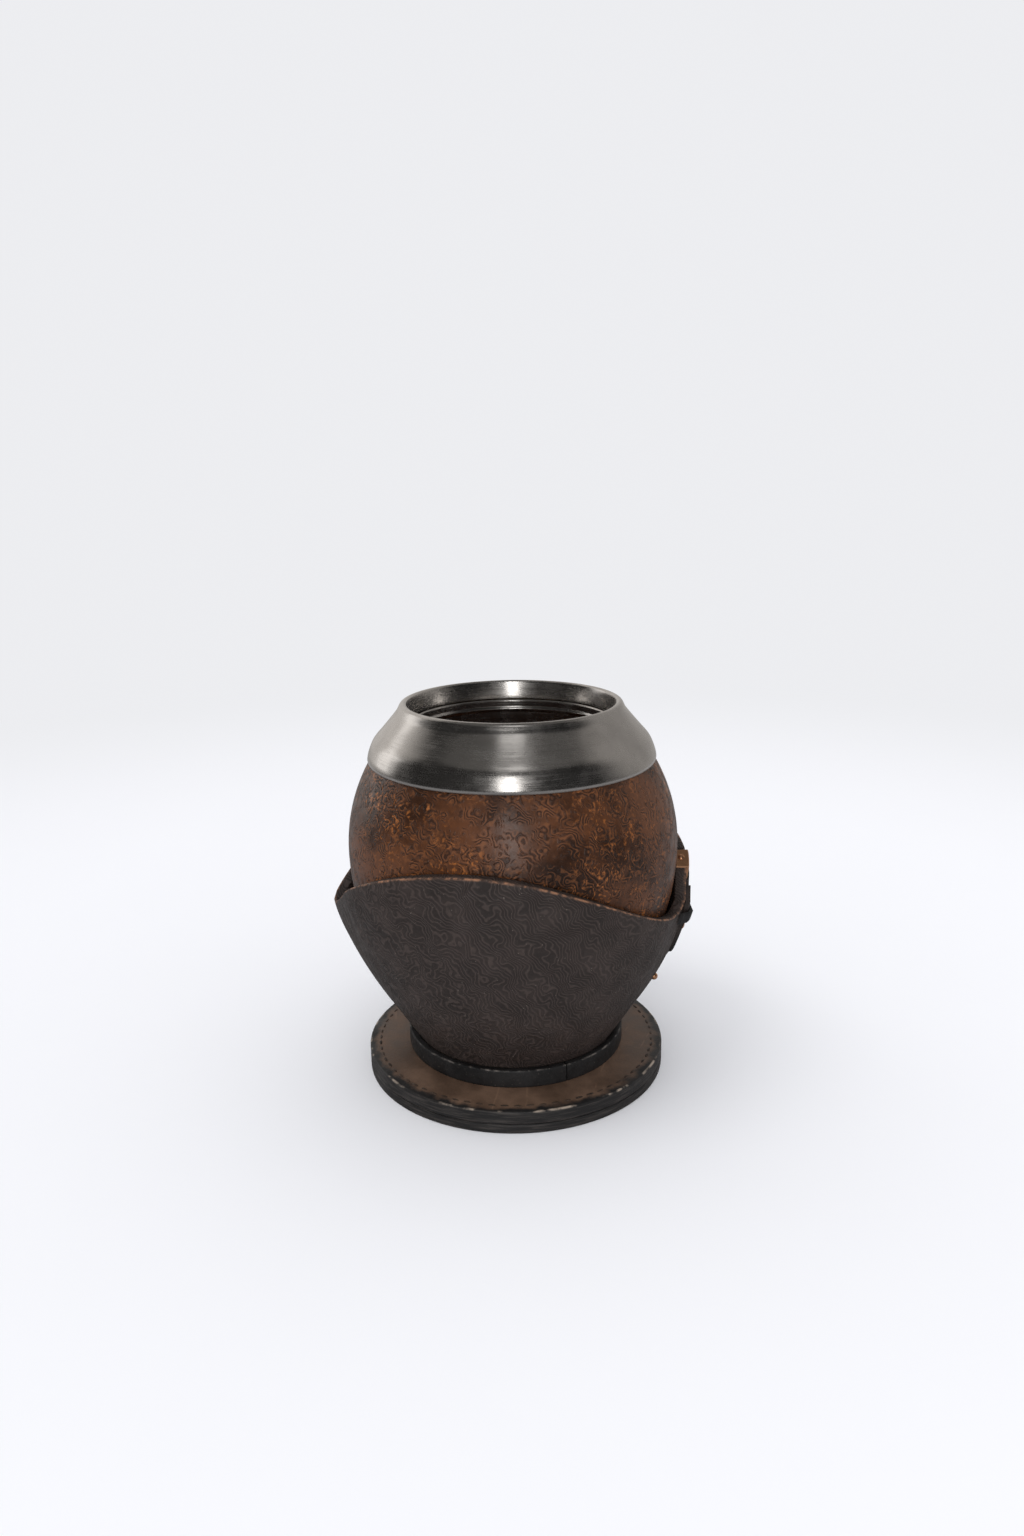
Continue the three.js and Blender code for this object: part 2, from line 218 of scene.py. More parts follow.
def outline_radius(outline, z):
    reach, height, flare, power = outline
    up = clamp((z - BAND_TOP) / (height - BAND_TOP), 0, 1) ** flare
    return WAIST_RADIUS + (reach - WAIST_RADIUS) * (1 - (1 - up) ** power)


def wall_radius(bearing, z):
    """The wall's outer radius; beside a seam it is a nearly straight line that touches the round part."""
    m = bearing % 360
    to_laced = min(abs(m - LACED_BEARING), 360 - abs(m - LACED_BEARING))
    to_corner = min(abs(m - CORNER_BEARING), 360 - abs(m - CORNER_BEARING))
    round_part = outline_radius(ROUND_OUTLINE, z)
    seam = outline_radius(LACED_OUTLINE if to_laced < to_corner else CORNER_OUTLINE, z)
    touch = math.acos(round_part / max(seam, round_part + 0.01))
    away = math.radians(min(to_laced, to_corner))
    if away >= touch:
        return round_part
    swell = CORNER_SWELL * clamp((touch - 0.25) / 0.2, 0, 1) * math.sin(math.pi * away / touch)
    return round_part / math.cos(touch - away) + swell


def front_edge(bearing):
    notch = 1.4 * (1 - smooth(bearing, CORNER_SEAM - 360, CORNER_SEAM - 357.5))
    cosine = math.cos(math.radians(bearing))
    if bearing < 0:
        return CORNER_HEIGHT + (PEAK_HEIGHT - CORNER_HEIGHT) * max(cosine, 0) ** 1.25 - notch
    petal = (PEAK_HEIGHT - DIP_HEIGHT) * cosine ** 2 if bearing < 90 else 0
    return DIP_HEIGHT + petal + (LACED_HEIGHT - DIP_HEIGHT) * smooth(bearing, DIP_BEARING, LACED_SEAM + 2)


def back_edge(bearing):
    if bearing < 180:
        way = (bearing - LACED_SEAM) / (180 - LACED_SEAM) * 90
        return LACED_HEIGHT + (PEAK_HEIGHT - LACED_HEIGHT) * math.sin(math.radians(way))
    fall = abs(math.cos(math.radians(min(bearing, CORNER_BEARING)))) ** 0.65
    return CORNER_HEIGHT + (PEAK_HEIGHT - CORNER_HEIGHT) * fall


def panel(name, start, end, edge_at):
    rows = 36

    def ring(m):
        top = edge_at(m)
        heights = [BASE_TOP, *[BAND_TOP + (top - BAND_TOP) * k / rows for k in range(rows + 1)]]
        outer = [(wall_radius(m, z), z) for z in heights]
        inner = [(wall_radius(m, z) - WALL_THICK, z) for z in reversed(heights)]
        ease = 0.35
        lip = [
            (outer[-1][0] - 0.12 * ease, top - ease),
            (outer[-1][0] - 0.4 * ease, top - 0.35 * ease),
            (outer[-1][0] - 1.1 * ease, top),
            (inner[0][0] + 1.1 * ease, top),
            (inner[0][0] + 0.35 * ease, top - 0.35 * ease),
            (inner[0][0], top - ease),
        ]
        return outer[:-1] + lip + inner[1:]

    def mark(m, r, z):
        """How near the point is to the outer corner of the top edge: 1 there, 0 a millimetre away."""
        outer = wall_radius(m, z)
        if r < outer - WALL_THICK * 0.5:
            return 0.0
        return clamp(1 - math.hypot(edge_at(m) - z, outer - r) / 1.3, 0, 1)

    return swept(name, bearings_between(start, end, 1.2, (LACED_BEARING, CORNER_BEARING)), ring, mark)


def on_wall(bearing, z, raised=0.0):
    """A place raised off the wall, and the way out of the leather there."""

    def at(m, h):
        r, a = wall_radius(m, h), math.radians(m)
        return Vector((r * math.sin(a), -r * math.cos(a), h))

    along = at(bearing + 0.5, z) - at(bearing - 0.5, z)
    up = at(bearing, z + 0.5) - at(bearing, z - 0.5)
    out = along.cross(up).normalized()
    return at(bearing, z) + out * raised, out


def rivet(name, place, head, dome, shank, length):
    """A domed rivet whose head's underside is at the place."""
    point, out = place
    arc = [(head * math.cos(t), dome * math.sin(t)) for t in (0, 0.3, 0.6, 0.9, 1.2, 1.4)]
    made = turned(name, [(0, -length), (shank, -length), (shank, 0), *arc, (0, dome)], 40, 0.05)
    made.data.transform(out.to_track_quat("Z", "Y").to_matrix().to_4x4())
    made.data.transform(Matrix.Translation(point * MM))
    return made


def clip_pin_place():
    m = (CLIP_START + CLIP_END) / 2
    middle = wall_radius(m, front_edge(m)) - WALL_THICK / 2
    slope = math.atan2(front_edge(m + 0.5) - front_edge(m - 0.5), math.radians(0.5) * middle * 2)
    a = math.radians(m)
    out = Vector((-math.cos(a) * math.sin(slope), -math.sin(a) * math.sin(slope), math.cos(slope)))
    point = Vector((middle * math.sin(a), -middle * math.cos(a), front_edge(m) + CLIP_SHEET + 0.12))
    return point, out


def seam_tongue(name):
    def ring(m):
        low = TONGUE_TIP + 19 * abs((m - TONGUE_BEARING) / TONGUE_SPREAD) ** 1.7
        top = front_edge(m) - 0.9 - 3.4 * smooth(m, 94.5, 97.5)
        heights = [low + (top - low) * k / 16 for k in range(17)]
        outer = [(wall_radius(m, z) + PATCH_GAP + TONGUE_THICK, z) for z in heights]
        inner = [(wall_radius(m, z) + PATCH_GAP, z) for z in reversed(heights)]
        return outer + inner

    start, end = TONGUE_BEARING - TONGUE_SPREAD, TONGUE_BEARING + TONGUE_SPREAD
    return swept(name, bearings_between(start, end, 0.5, (LACED_BEARING,)), ring)


def tongue_keeper(name):
    def ring(m):
        raised = 0.2 + (TONGUE_THICK + 0.3) * (1 - smooth(abs(m - TONGUE_BEARING), 9, 11))
        inside = [wall_radius(m, z) + raised for z in (KEEPER_LOW, KEEPER_HIGH)]
        soft = 0.35
        return [
            (inside[0], KEEPER_LOW),
            (inside[0] + KEEPER_THICK - soft, KEEPER_LOW),
            (inside[0] + KEEPER_THICK, KEEPER_LOW + soft),
            (inside[1] + KEEPER_THICK, KEEPER_HIGH - soft),
            (inside[1] + KEEPER_THICK - soft, KEEPER_HIGH),
            (inside[1], KEEPER_HIGH),
        ]

    start, end = TONGUE_BEARING - KEEPER_SPREAD, TONGUE_BEARING + KEEPER_SPREAD
    return swept(name, bearings_between(start, end, 0.6, (LACED_BEARING,)), ring)


def edge_clip(name):
    def ring(m):
        edge = front_edge(m) + 0.1
        outer = wall_radius(m, edge)
        low = edge - 3.4
        return [
            (outer - WALL_THICK + 0.2, edge),
            (outer + PATCH_GAP, edge),
            (wall_radius(m, low) + PATCH_GAP, low),
            (wall_radius(m, low) + PATCH_GAP + CLIP_SHEET, low),
            (outer + PATCH_GAP + CLIP_SHEET, edge + CLIP_SHEET * 0.4),
            (outer - 0.1 + CLIP_SHEET, edge + CLIP_SHEET),
            (outer - WALL_THICK + 0.2, edge + CLIP_SHEET),
        ]

    return swept(name, bearings_between(CLIP_START, CLIP_END, 0.4), ring)


def closing_lace(name):
    """One loop of cord lying on the tongue, as a mesh tube along its route."""
    raised = PATCH_GAP + TONGUE_THICK + LACE_RADIUS + 0.2
    curve = bpy.data.curves.new(name, "CURVE")
    curve.dimensions = "3D"
    curve.bevel_depth = LACE_RADIUS * MM
    curve.bevel_resolution = 4
    curve.use_fill_caps = True
    spline = curve.splines.new("POLY")
    stops = 64
    spline.points.add(stops)
    for k in range(stops + 1):
        i = 16 * k / stops
        turn = math.pi * clamp((i - 6) / 4, 0, 1)
        run = 47.1 - i * 1.6 if i < 6 else 37.5 + max(i - 10, 0) * 1.6
        across = TONGUE_BEARING - LACE_HALF * math.cos(turn)
        point, _ = on_wall(across, run - 1.5 * math.sin(turn), raised)
        spline.points[k].co = (*(point * MM), 1)
    holder = bpy.data.objects.new(name + "_route", curve)
    bpy.context.scene.collection.objects.link(holder)
    bpy.context.view_layer.update()
    mesh = bpy.data.meshes.new_from_object(holder.evaluated_get(bpy.context.evaluated_depsgraph_get()))
    bpy.data.objects.remove(holder)
    made = bpy.data.objects.new(name, mesh)
    mesh.name = name
    mesh.shade_smooth()
    bpy.context.scene.collection.objects.link(made)
    return made


def gourd_outer(z):
    t = (z - GOURD_EQUATOR) / GOURD_RISE if z > GOURD_EQUATOR else (GOURD_EQUATOR - z) / GOURD_DROP
    return GOURD_RADIUS * math.sqrt(max(0, 1 - t * t))


def gourd_inner(z):
    radius, equator, rise, drop = 41.5, 67, 42.4, 46
    t = (z - equator) / rise if z > equator else (equator - z) / drop
    return radius * math.sqrt(max(0, 1 - t * t))


# Stitches by Geometry Nodes


def stitch_ring(name, material, count, radius, height):
    """Stitches set round a circle, each a short rounded thread along it."""
    tree = bpy.data.node_groups.new(name, "GeometryNodeTree")
    tree.interface.new_socket("Geometry", in_out="OUTPUT", socket_type="NodeSocketGeometry")
    for label, value in (("Count", count), ("Radius", radius * MM), ("Height", height * MM)):
        kind = "NodeSocketInt" if label == "Count" else "NodeSocketFloat"
        socket = tree.interface.new_socket(label, in_out="INPUT", socket_type=kind)
        socket.default_value = value
    inputs = tree.nodes.new("NodeGroupInput")
    output = tree.nodes.new("NodeGroupOutput")
    circle = tree.nodes.new("GeometryNodeCurvePrimitiveCircle")
    resample = tree.nodes.new("GeometryNodeResampleCurve")
    tangent = tree.nodes.new("GeometryNodeInputTangent")
    align = tree.nodes.new("FunctionNodeAlignRotationToVector")
    align.axis = "X"
    ball = tree.nodes.new("GeometryNodeMeshUVSphere")
    ball.inputs["Segments"].default_value = 14
    ball.inputs["Rings"].default_value = 8
    ball.inputs["Radius"].default_value = 1.0
    shape = tree.nodes.new("GeometryNodeTransform")
    shape.inputs["Scale"].default_value = (1.15 * MM, 0.36 * MM, 0.22 * MM)
    place = tree.nodes.new("GeometryNodeInstanceOnPoints")
    vary = tree.nodes.new("FunctionNodeRandomValue")
    vary.data_type = "FLOAT"
    vary.inputs[2].default_value = 0.88
    vary.inputs[3].default_value = 1.1
    vary.inputs["Seed"].default_value = 7
    lift = tree.nodes.new("ShaderNodeCombineXYZ")
    move = tree.nodes.new("GeometryNodeTransform")
    real = tree.nodes.new("GeometryNodeRealizeInstances")
    paint = tree.nodes.new("GeometryNodeSetMaterial")
    paint.inputs["Material"].default_value = material
    wires = (
        (inputs.outputs["Radius"], circle.inputs["Radius"]),
        (circle.outputs["Curve"], resample.inputs["Curve"]),
        (inputs.outputs["Count"], resample.inputs["Count"]),
        (resample.outputs["Curve"], place.inputs["Points"]),
        (tangent.outputs["Tangent"], align.inputs["Vector"]),
        (align.outputs["Rotation"], place.inputs["Rotation"]),
        (ball.outputs["Mesh"], shape.inputs["Geometry"]),
        (shape.outputs["Geometry"], place.inputs["Instance"]),
        (vary.outputs[1], place.inputs["Scale"]),
        (inputs.outputs["Height"], lift.inputs["Z"]),
        (place.outputs["Instances"], move.inputs["Geometry"]),
        (lift.outputs["Vector"], move.inputs["Translation"]),
        (move.outputs["Geometry"], real.inputs["Geometry"]),
        (real.outputs["Geometry"], paint.inputs["Geometry"]),
        (paint.outputs["Geometry"], output.inputs["Geometry"]),
    )
    for start, end in wires:
        tree.links.new(start, end)
    holder = bpy.data.objects.new(name + "_maker", bpy.data.meshes.new(name + "_maker"))
    bpy.context.scene.collection.objects.link(holder)
    holder.modifiers.new("Stitches", "NODES").node_group = tree
    bpy.context.view_layer.update()
    mesh = bpy.data.meshes.new_from_object(holder.evaluated_get(bpy.context.evaluated_depsgraph_get()))
    bpy.data.objects.remove(holder)
    mesh.name = name
    mesh.shade_smooth()
    made = bpy.data.objects.new(name, mesh)
    bpy.context.scene.collection.objects.link(made)
    if len(mesh.polygons) < count:
        raise RuntimeError("the stitches were not made")
    return made


# Materials


class Shader:
    """A material's node tree with short calls to add nodes and join them."""

    def __init__(self, name):
        self.material = bpy.data.materials.new(name)
        self.material.use_nodes = True
        self.tree = self.material.node_tree
        self.surface = self.tree.nodes["Principled BSDF"]
        coordinate = self.tree.nodes.new("ShaderNodeTexCoord")
        self.place = self.add("ShaderNodeVectorMath", {0: coordinate.outputs["Object"], 1: (1000,) * 3},
                              operation="MULTIPLY").outputs[0]

    def add(self, kind, inputs=None, **settings):
        node = self.tree.nodes.new(kind)
        for key, value in settings.items():
            setattr(node, key, value)
        for key, value in (inputs or {}).items():
            if isinstance(value, bpy.types.NodeSocket):
                self.tree.links.new(value, node.inputs[key])
            else:
                node.inputs[key].default_value = value
        return node

    def noise(self, scale, detail=4.0, rough=0.55, distort=0.0, vector=None):
        """Noise with one feature per 1/scale millimetres."""
        inputs = {"Vector": vector or self.place, "Scale": scale, "Detail": detail,
                  "Roughness": rough, "Distortion": distort}
        return self.add("ShaderNodeTexNoise", inputs).outputs["Fac"]

    def lines(self, period, bend, bend_scale, direction="X", vector=None):
        """Wavy lines with a period in millimetres, bent by noise."""
        inputs = {"Vector": vector or self.place, "Scale": 0.314 / period, "Distortion": bend, "Detail": 1.6,
                  "Detail Scale": bend_scale, "Detail Roughness": 0.5}
        wave = self.add("ShaderNodeTexWave", inputs, wave_type="BANDS", bands_direction=direction)
        return wave.outputs["Fac"]

    def steps(self, value, low, high, start=0.0, end=1.0):
        """The value spread from low..high to start..end, and held there beyond."""
        inputs = {"Value": value, "From Min": low, "From Max": high, "To Min": start, "To Max": end}
        return self.add("ShaderNodeMapRange", inputs, interpolation_type="SMOOTHSTEP").outputs["Result"]

    def mix(self, factor, first, second):
        made = self.add("ShaderNodeMix", data_type="RGBA")
        for socket, value in ((made.inputs[0], factor), (made.inputs[6], first), (made.inputs[7], second)):
            if isinstance(value, bpy.types.NodeSocket):
                self.tree.links.new(value, socket)
            else:
                socket.default_value = value
        return made.outputs[2]

    def sum(self, first, second, operation="ADD"):
        return self.add("ShaderNodeMath", {0: first, 1: second}, operation=operation).outputs[0]

    def bump(self, height, strength, depth, below=None):
        """Relief with a depth in millimetres."""
        inputs = {"Height": height, "Strength": strength, "Distance": depth * MM}
        if below:
            inputs["Normal"] = below
        return self.add("ShaderNodeBump", inputs).outputs["Normal"]

    def finish(self, color, roughness, normal=None, **fixed):
        for name, value in (("Base Color", color), ("Roughness", roughness), ("Normal", normal)):
            if value is None:
                continue
            if isinstance(value, bpy.types.NodeSocket):
                self.tree.links.new(value, self.surface.inputs[name])
            else:
                self.surface.inputs[name].default_value = value
        for name, value in fixed.items():
            self.surface.inputs[name.replace("_", " ")].default_value = value
        return self.material


def rgb(color):
    return (*color[:3], 1.0)


def dim(color, by):
    return (color[0] * by, color[1] * by, color[2] * by, 1.0)


def wall_leather(colors):
    s = Shader("wall_leather")
    lines = s.lines(0.82, 32, 0.42, "DIAGONAL")
    patches = s.noise(0.12, 5)
    color = s.mix(s.steps(patches, 0.35, 0.7), dim(colors.leather, 0.75), dim(colors.leather, 1.25))
    color = s.mix(s.steps(lines, 0.55, 1.0, 0.0, 0.5), color, dim(colors.leather, 2.4))
    specks = s.steps(s.noise(2.6, 2), 0.70, 0.77)
    color = s.mix(s.sum(specks, 0.5, "MULTIPLY"), color, (0.42, 0.36, 0.31, 1))
    mark = s.add("ShaderNodeAttribute", attribute_name="mark").outputs["Fac"]
    worn = s.sum(s.steps(mark, 0.5, 0.9), s.steps(s.noise(0.5, 5), 0.42, 0.62, 0.1, 0.9), "MULTIPLY")
    color = s.mix(worn, color, rgb(colors.worn))
    relief = s.bump(lines, 0.7, 0.16)
    relief = s.bump(s.noise(1.6, 6), 0.3, 0.15, relief)
    rough = s.steps(s.noise(0.3, 4), 0.3, 0.7, 0.46, 0.68)
    return s.finish(color, rough, relief, Specular_IOR_Level=0.38)


def plain_leather(name, color, worn=False):
    """Leather of one colour; worn lightens it where the mesh is marked."""
    s = Shader(name)
    tone = s.mix(s.steps(s.noise(0.18, 6), 0.3, 0.72), dim(color, 0.6), dim(color, 1.45))
    tone = s.mix(s.sum(s.steps(s.noise(1.9, 3), 0.66, 0.76), 0.35, "MULTIPLY"), tone, (0.3, 0.25, 0.2, 1))
    relief = s.bump(s.noise(1.4, 7), 0.4, 0.22)
    if worn:
        mark = s.add("ShaderNodeAttribute", attribute_name="mark").outputs["Fac"]
        rubbed = s.sum(s.steps(mark, 0.45, 0.8), s.steps(s.noise(0.28, 7, 0.7), 0.47, 0.66), "MULTIPLY")
        tone = s.mix(s.sum(rubbed, 0.6, "MULTIPLY"), tone, (0.26, 0.22, 0.19, 1))
    return s.finish(tone, s.steps(s.noise(0.4, 4), 0.3, 0.7, 0.45, 0.7), relief)


def base_leather(colors):
    """Brown on top, black and layered at the cut edge, and worn pale along the corner."""
    s = Shader("base_leather")
    across = s.add("ShaderNodeSeparateXYZ", {0: s.place})
    flat = s.add("ShaderNodeCombineXYZ", {"X": across.outputs["X"], "Y": across.outputs["Y"]}).outputs[0]
    radius = s.add("ShaderNodeVectorMath", {0: flat}, operation="LENGTH").outputs["Value"]
    height = across.outputs["Z"]
    patches = s.noise(0.1, 6, 0.6)
    top = s.mix(s.steps(patches, 0.3, 0.72), dim(colors.base, 0.62), dim(colors.base, 1.35))
    marks = s.steps(s.lines(9, 8, 0.6, "X"), 0.985, 1.0)
    some = s.steps(s.noise(0.09, 3), 0.55, 0.6)
    top = s.mix(s.sum(s.sum(marks, some, "MULTIPLY"), 0.3, "MULTIPLY"), top, dim(colors.base, 2.2))
    top = s.mix(s.sum(s.steps(s.noise(1.7, 3), 0.68, 0.76), 0.4, "MULTIPLY"), top, dim(colors.base, 2.6))
    near = s.sum(radius, s.steps(s.noise(0.25, 3), 0.2, 0.8, -1.2, 1.2))
    top = s.mix(s.steps(near, BASE_RADIUS - 3.2, BASE_RADIUS - 0.8), top, rgb(colors.black))
    layers = s.noise(1.0, 5, 0.6, 0.0, s.add("ShaderNodeVectorMath", {0: s.place, 1: (0.12, 0.12, 2.4)},
                                             operation="MULTIPLY").outputs[0])
    side = s.mix(s.steps(layers, 0.42, 0.7), dim(colors.black, 1.0), (0.05, 0.042, 0.037, 1))
    color = s.mix(s.steps(radius, BASE_RADIUS - 0.35, BASE_RADIUS - 0.15), top, side)
    rim = s.steps(radius, BASE_RADIUS - 0.75, BASE_RADIUS - 0.3)
    corner = s.sum(rim, s.steps(height, BASE_TOP - 0.6, BASE_TOP), "MULTIPLY")
    worn = s.sum(corner, s.steps(s.noise(0.16, 4), 0.5, 0.62), "MULTIPLY")
    color = s.mix(s.sum(worn, 0.8, "MULTIPLY"), color, (0.46, 0.37, 0.29, 1))
    relief = s.bump(layers, 0.5, 0.25, s.bump(s.noise(1.3, 7), 0.35, 0.2))
    return s.finish(color, s.steps(patches, 0.3, 0.7, 0.4, 0.62), relief)


def gourd_skin(colors):
    s = Shader("gourd_skin")
    broad = s.noise(0.05, 6, 0.62, 0.4)
    color = s.mix(s.steps(broad, 0.36, 0.66), dim(colors.gourd, 0.34), dim(colors.gourd, 1.45))
    flecks = s.steps(s.noise(0.5, 8, 0.72, 1.2), 0.53, 0.62)
    where = s.steps(s.noise(0.06, 4, 0.6, 0.0), 0.38, 0.62)
    color = s.mix(s.sum(s.sum(flecks, where, "MULTIPLY"), 0.9, "MULTIPLY"), color, rgb(colors.gourd_patch))
    patch = s.steps(s.noise(0.1, 7, 0.66, 1.0), 0.64, 0.68)
    color = s.mix(s.sum(patch, 0.8, "MULTIPLY"), color, rgb(colors.gourd_patch))
    worms = s.lines(1.6, 30, 1.1, "DIAGONAL")
    gaps = s.steps(s.noise(0.35, 3), 0.42, 0.58)
    ridge = s.sum(s.steps(worms, 0.62, 0.95), gaps, "MULTIPLY")
    color = s.mix(s.sum(ridge, 0.6, "MULTIPLY"), color, dim(colors.gourd, 0.2))
    light = s.sum(s.steps(worms, 0.3, 0.02), gaps, "MULTIPLY")
    color = s.mix(s.sum(light, 0.22, "MULTIPLY"), color, rgb(colors.gourd_patch))
    relief = s.bump(ridge, 0.8, 0.2, s.bump(s.noise(0.5, 5), 0.25, 0.3))
    rough = s.steps(s.noise(0.35, 5), 0.3, 0.7, 0.3, 0.48)
    return s.finish(color, rough, relief, Coat_Weight=0.06, Coat_Roughness=0.2, Specular_IOR_Level=0.42)


def metal(name, color, low, high, scratch=0.25):
    s = Shader(name)
    tone = s.mix(s.steps(s.noise(0.12, 4), 0.35, 0.7), dim(color, 0.86), rgb(color))
    turned_marks = s.noise(1.0, 4, 0.6, 0.0, s.add("ShaderNodeVectorMath", {0: s.place, 1: (0.05, 0.05, 4.0)},
                                                   operation="MULTIPLY").outputs[0])
    smudges = s.noise(0.2, 5)
    rough = s.steps(s.sum(turned_marks, smudges, "MULTIPLY"), 0.15, 0.4, low, high)
    return s.finish(tone, rough, s.bump(turned_marks, scratch, 0.012), Metallic=1.0)


def backdrop_paper():
    """Paper that takes the shadow round the object and glows evenly further out, dimmer to reflections."""
    s = Shader("backdrop_paper")
    tone = s.mix(s.noise(0.02, 3), (0.92, 0.92, 0.94, 1), (0.93, 0.93, 0.95, 1))
    s.finish(tone, 0.9, None, Specular_IOR_Level=0.0)
    path = s.add("ShaderNodeLightPath")
    place = s.add("ShaderNodeSeparateXYZ", {0: s.place})
    behind = s.steps(place.outputs["Y"], -300, 900, 0.03, 1.0)
    across = s.steps(place.outputs["X"], -1600, 1600, 0.64, 0.3)
    seen = s.sum(behind, across, "MULTIPLY")
    green, blue = s.sum(seen, 0.96, "MULTIPLY"), s.sum(seen, 0.92, "MULTIPLY")
    warm = s.add("ShaderNodeCombineColor", {"Red": seen, "Green": green, "Blue": blue})
    color = s.mix(path.outputs["Is Glossy Ray"], (0.845, 0.85, 0.875, 1), warm.outputs[0])
    glow = s.add("ShaderNodeEmission", {"Color": color, "Strength": 1.0})
    radius = s.add("ShaderNodeVectorMath", {0: s.place}, operation="LENGTH").outputs["Value"]
    far = s.sum(s.steps(radius, 220, 620), s.sum(path.outputs["Is Glossy Ray"], 0.75, "MULTIPLY"), "MAXIMUM")
    both = s.add("ShaderNodeMixShader", {0: far, 1: s.surface.outputs[0], 2: glow.outputs[0]})
    s.tree.links.new(both.outputs[0], s.tree.nodes["Material Output"].inputs["Surface"])
    return s.material


# Properties


def color_property(name, description, default):
    return bpy.props.FloatVectorProperty(
        name=name, description=description, subtype="COLOR", size=3, min=0, max=1, default=default)


class MateCupColors(bpy.types.PropertyGroup):
    leather: color_property("Wall leather", "Colour of the holder's wall", (0.03, 0.021, 0.018))
    black: color_property("Black leather", "Colour of the band and cut edges", (0.012, 0.011, 0.011))
    base: color_property("Base leather", "Colour of the base disc's top", (0.115, 0.068, 0.043))
    worn: color_property("Worn corner", "Colour where the wall's top corner is rubbed", (0.36, 0.17, 0.09))
    gourd: color_property("Gourd", "Main colour of the gourd's skin", (0.075, 0.026, 0.009))
    gourd_patch: color_property(
        "Gourd patches", "Colour of the light patches on the gourd", (0.36, 0.115, 0.02))
    steel: color_property("Steel", "Colour of the collar", (0.62, 0.59, 0.56))
    copper: color_property("Copper", "Colour of the clip, pins and rivet", (0.78, 0.42, 0.24))


class MateCupSizes(bpy.types.PropertyGroup):
    stitches: bpy.props.IntProperty(
        name="Stitches", description="Number of stitches round the base disc", default=74, min=12, max=200)
    stitch_inset: bpy.props.FloatProperty(
        name="Stitch inset", description="How far the stitches are inside the base's edge, in millimetres",
        default=3.0, min=1.0, max=8.0, unit="NONE")
    turned_sides: bpy.props.IntProperty(
        name="Turned sides", description="Number of sides of a turned body", default=180, min=24, max=360)


def put(made, body, material, slot, *nodes):
    """Gives a piece its material and its body, and hides the solids it stands for."""
    made.data.materials.clear()
    made.data.materials.append(material)
    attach(made, body)
    if nodes:
        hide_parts(*nodes)
    return made


# Operators


class MATECUP_OT_base(bpy.types.Operator):
    """Builds the outsole, the base disc and the stitches round it"""

    bl_idname = "mate_cup.base"
    bl_label = "Base discs and stitches"

    def execute(self, context):
        colors, sizes = context.scene.mate_cup_colors, context.scene.mate_cup_sizes
        leather = base_leather(colors)
        for name, low, high, slot in (
            ("outsole", 0, OUTSOLE_THICK, "black_leather"),
            ("base", OUTSOLE_THICK, BASE_TOP, "brown_leather"),
        ):
            profile = [(0, low), (BASE_RADIUS, low), (BASE_RADIUS, high), (0, high)]
            made = turned(name, profile, sizes.turned_sides, 0.5)
            put(made, "holder", leather, slot, name + "_disc")
        thread = plain_leather("stitch_thread", [c * 0.4 for c in colors.base])
        radius = BASE_RADIUS - sizes.stitch_inset
        stitches = stitch_ring("base_stitches", thread, sizes.stitches, radius, BASE_TOP)
        put(stitches, "holder", thread, "black_leather")
        return {"FINISHED"}


class MATECUP_OT_foot(bpy.types.Operator):
    """Builds the band round the holder's waist and the insole inside it"""

    bl_idname = "mate_cup.foot"
    bl_label = "Foot band and insole"

    def execute(self, context):
        colors, sizes = context.scene.mate_cup_colors, context.scene.mate_cup_sizes
        inside = WAIST_RADIUS + 0.1
        strip = [(inside, BASE_TOP), (BAND_RADIUS, BASE_TOP), (BAND_RADIUS, BAND_TOP), (inside, BAND_TOP)]
        section = eased(strip, 0.5)
        bearings = bearings_between(BAND_JOINT + BAND_GAP, BAND_JOINT + 360 - BAND_GAP, 2)

        def worn(m, r, z):
            return clamp(1 - math.hypot(BAND_TOP - z, BAND_RADIUS - r) / 0.9, 0, 1)

        band = swept("band", bearings, lambda m: section, worn)
        black = plain_leather("band_leather", colors.black, worn=True)
        put(band, "holder", black, "black_leather", "foot_band")
        edge = WAIST_RADIUS - WALL_THICK - 0.25
        profile = [(0, BASE_TOP), (edge, BASE_TOP), (edge, BAND_TOP), (0, BAND_TOP)]
        insole = turned("insole", profile, sizes.turned_sides, 0.4)
        put(insole, "holder", plain_leather("insole_leather", colors.base), "brown_leather", "insole_disc")
        return {"FINISHED"}


class MATECUP_OT_wall(bpy.types.Operator):
    """Builds the front and back panels of the leather wall"""

    bl_idname = "mate_cup.wall"
    bl_label = "Wall panels"

    def execute(self, context):
        leather = wall_leather(context.scene.mate_cup_colors)
        front = panel("wall_front", CORNER_SEAM - 360, LACED_SEAM, front_edge)
        put(front, "holder", leather, "dark_leather", "front_panel")
        back = panel("wall_back", LACED_SEAM + SEAM_GAP, CORNER_SEAM - SEAM_GAP, back_edge)
        put(back, "holder", leather, "dark_leather", "back_panel")
        return {"FINISHED"}


class MATECUP_OT_seam(bpy.types.Operator):
    """Builds the tongue, its keeper and the loop of lace at the laced seam"""

    bl_idname = "mate_cup.seam"
    bl_label = "Tongue, keeper and lace"

    def execute(self, context):
        colors = context.scene.mate_cup_colors
        black = plain_leather("seam_leather", colors.black)
        dark = plain_leather("tongue_leather", colors.leather)
        put(seam_tongue("tongue"), "holder", dark, "dark_leather", "seam_tongue")
        put(tongue_keeper("keeper"), "holder", black, "black_leather", "tongue_keeper")
        put(closing_lace("lace_loop"), "holder", black, "black_leather", "closing_lace")
        return {"FINISHED"}


